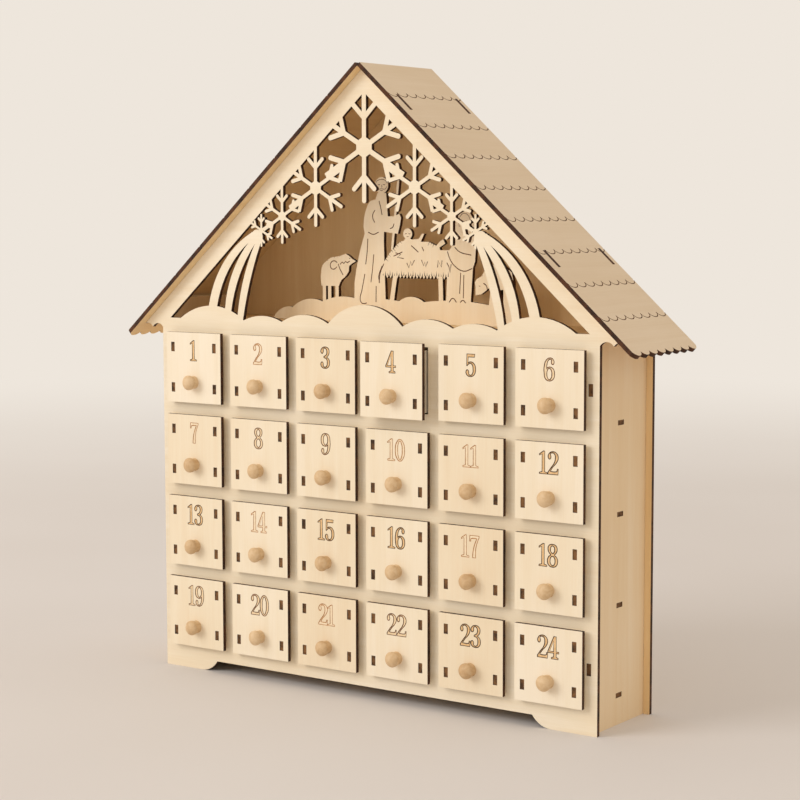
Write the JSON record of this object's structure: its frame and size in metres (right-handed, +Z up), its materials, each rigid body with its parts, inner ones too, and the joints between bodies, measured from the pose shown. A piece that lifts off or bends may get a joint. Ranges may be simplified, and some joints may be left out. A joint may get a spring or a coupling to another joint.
{
  "type": "wooden advent calendar",
  "caption": "Laser-cut plywood house with a steep scalloped roof, a pierced snowflake gable over cut-out figures, and rows of numbered pull-out drawers with turned knobs.",
  "frame": {"origin": "on the table, below the middle of the object's bounding box", "axes": "+Z up, +X to the right along the front, the drawers pull out along -Y"},
  "size_m": [0.2846, 0.0656, 0.2904],
  "materials": {
    "plywood": "raw, sanded",
    "turned_wood": "raw, turned"
  },
  "bodies": {
    "house": {"front_panel": "plywood", "back_panel": "plywood", "side_panel_right": "plywood", "side_panel_left": "plywood", "shelves": "plywood", "dividers": "plywood", "top_deck": "plywood", "nativity_scene": "plywood", "roof_slab_right": "plywood", "roof_slab_left": "plywood"},
    "drawer_01": {"drawer_01_tray": "plywood", "drawer_01_knob": "turned_wood"},
    "drawer_02": {"drawer_02_tray": "plywood", "drawer_02_knob": "turned_wood"},
    "drawer_03": {"drawer_03_tray": "plywood", "drawer_03_knob": "turned_wood"},
    "drawer_04": {"drawer_04_tray": "plywood", "drawer_04_knob": "turned_wood"},
    "drawer_05": {"drawer_05_tray": "plywood", "drawer_05_knob": "turned_wood"},
    "drawer_06": {"drawer_06_tray": "plywood", "drawer_06_knob": "turned_wood"},
    "drawer_07": {"drawer_07_tray": "plywood", "drawer_07_knob": "turned_wood"},
    "drawer_08": {"drawer_08_tray": "plywood", "drawer_08_knob": "turned_wood"},
    "drawer_09": {"drawer_09_tray": "plywood", "drawer_09_knob": "turned_wood"},
    "drawer_10": {"drawer_10_tray": "plywood", "drawer_10_knob": "turned_wood"},
    "drawer_11": {"drawer_11_tray": "plywood", "drawer_11_knob": "turned_wood"},
    "drawer_12": {"drawer_12_tray": "plywood", "drawer_12_knob": "turned_wood"},
    "drawer_13": {"drawer_13_tray": "plywood", "drawer_13_knob": "turned_wood"},
    "drawer_14": {"drawer_14_tray": "plywood", "drawer_14_knob": "turned_wood"},
    "drawer_15": {"drawer_15_tray": "plywood", "drawer_15_knob": "turned_wood"},
    "drawer_16": {"drawer_16_tray": "plywood", "drawer_16_knob": "turned_wood"},
    "drawer_17": {"drawer_17_tray": "plywood", "drawer_17_knob": "turned_wood"},
    "drawer_18": {"drawer_18_tray": "plywood", "drawer_18_knob": "turned_wood"},
    "drawer_19": {"drawer_19_tray": "plywood", "drawer_19_knob": "turned_wood"},
    "drawer_20": {"drawer_20_tray": "plywood", "drawer_20_knob": "turned_wood"},
    "drawer_21": {"drawer_21_tray": "plywood", "drawer_21_knob": "turned_wood"},
    "drawer_22": {"drawer_22_tray": "plywood", "drawer_22_knob": "turned_wood"},
    "drawer_23": {"drawer_23_tray": "plywood", "drawer_23_knob": "turned_wood"},
    "drawer_24": {"drawer_24_tray": "plywood", "drawer_24_knob": "turned_wood"}
  },
  "joints": [
    {"name": "drawer_01_slide", "type": "slide", "parent": "house", "child": "drawer_01", "axis": [0, -1, 0], "range_m": [0, 0.036]},
    {"name": "drawer_02_slide", "type": "slide", "parent": "house", "child": "drawer_02", "axis": [0, -1, 0], "range_m": [0, 0.036]},
    {"name": "drawer_03_slide", "type": "slide", "parent": "house", "child": "drawer_03", "axis": [0, -1, 0], "range_m": [0, 0.036]},
    {"name": "drawer_04_slide", "type": "slide", "parent": "house", "child": "drawer_04", "axis": [0, -1, 0], "range_m": [-0.004, 0.032]},
    {"name": "drawer_05_slide", "type": "slide", "parent": "house", "child": "drawer_05", "axis": [0, -1, 0], "range_m": [0, 0.036]},
    {"name": "drawer_06_slide", "type": "slide", "parent": "house", "child": "drawer_06", "axis": [0, -1, 0], "range_m": [0, 0.036]},
    {"name": "drawer_07_slide", "type": "slide", "parent": "house", "child": "drawer_07", "axis": [0, -1, 0], "range_m": [0, 0.036]},
    {"name": "drawer_08_slide", "type": "slide", "parent": "house", "child": "drawer_08", "axis": [0, -1, 0], "range_m": [0, 0.036]},
    {"name": "drawer_09_slide", "type": "slide", "parent": "house", "child": "drawer_09", "axis": [0, -1, 0], "range_m": [0, 0.036]},
    {"name": "drawer_10_slide", "type": "slide", "parent": "house", "child": "drawer_10", "axis": [0, -1, 0], "range_m": [0, 0.036]},
    {"name": "drawer_11_slide", "type": "slide", "parent": "house", "child": "drawer_11", "axis": [0, -1, 0], "range_m": [0, 0.036]},
    {"name": "drawer_12_slide", "type": "slide", "parent": "house", "child": "drawer_12", "axis": [0, -1, 0], "range_m": [0, 0.036]},
    {"name": "drawer_13_slide", "type": "slide", "parent": "house", "child": "drawer_13", "axis": [0, -1, 0], "range_m": [0, 0.036]},
    {"name": "drawer_14_slide", "type": "slide", "parent": "house", "child": "drawer_14", "axis": [0, -1, 0], "range_m": [0, 0.036]},
    {"name": "drawer_15_slide", "type": "slide", "parent": "house", "child": "drawer_15", "axis": [0, -1, 0], "range_m": [0, 0.036]},
    {"name": "drawer_16_slide", "type": "slide", "parent": "house", "child": "drawer_16", "axis": [0, -1, 0], "range_m": [0, 0.036]},
    {"name": "drawer_17_slide", "type": "slide", "parent": "house", "child": "drawer_17", "axis": [0, -1, 0], "range_m": [0, 0.036]},
    {"name": "drawer_18_slide", "type": "slide", "parent": "house", "child": "drawer_18", "axis": [0, -1, 0], "range_m": [0, 0.036]},
    {"name": "drawer_19_slide", "type": "slide", "parent": "house", "child": "drawer_19", "axis": [0, -1, 0], "range_m": [0, 0.036]},
    {"name": "drawer_20_slide", "type": "slide", "parent": "house", "child": "drawer_20", "axis": [0, -1, 0], "range_m": [0, 0.036]},
    {"name": "drawer_21_slide", "type": "slide", "parent": "house", "child": "drawer_21", "axis": [0, -1, 0], "range_m": [0, 0.036]},
    {"name": "drawer_22_slide", "type": "slide", "parent": "house", "child": "drawer_22", "axis": [0, -1, 0], "range_m": [0, 0.036]},
    {"name": "drawer_23_slide", "type": "slide", "parent": "house", "child": "drawer_23", "axis": [0, -1, 0], "range_m": [0, 0.036]},
    {"name": "drawer_24_slide", "type": "slide", "parent": "house", "child": "drawer_24", "axis": [0, -1, 0], "range_m": [0, 0.036]}
  ]
}
